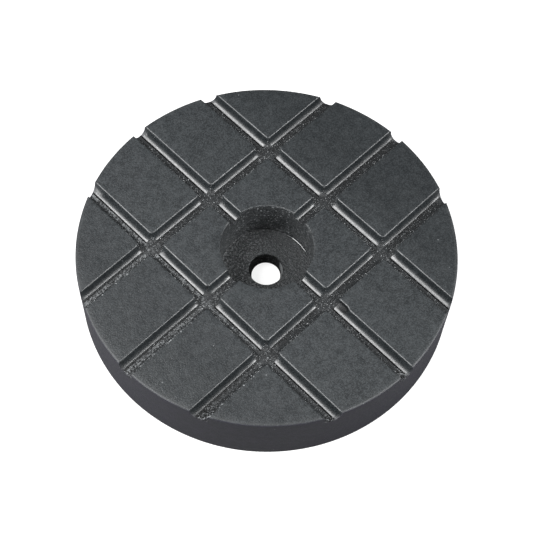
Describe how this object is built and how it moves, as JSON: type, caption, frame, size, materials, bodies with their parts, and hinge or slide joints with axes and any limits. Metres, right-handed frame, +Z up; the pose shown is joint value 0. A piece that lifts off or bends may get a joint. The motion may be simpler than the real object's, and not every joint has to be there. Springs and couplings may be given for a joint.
{
  "type": "lift arm rubber pad",
  "caption": "Round moulded rubber pad for a vehicle lift arm, with a gripping face of lands between crossing grooves and a counterbored bolt hole.",
  "frame": {"origin": "middle of the flat underside, on the bolt hole's axis", "axes": "+Z up along the bolt hole's axis, out of the gripping face; the grooves run along X and Y"},
  "size_m": [0.12, 0.12, 0.0225],
  "materials": {
    "black_rubber": "matte moulded rubber with a soft sheen"
  },
  "bodies": {
    "root": {"rubber_pad": "black_rubber"}
  },
  "joints": []
}
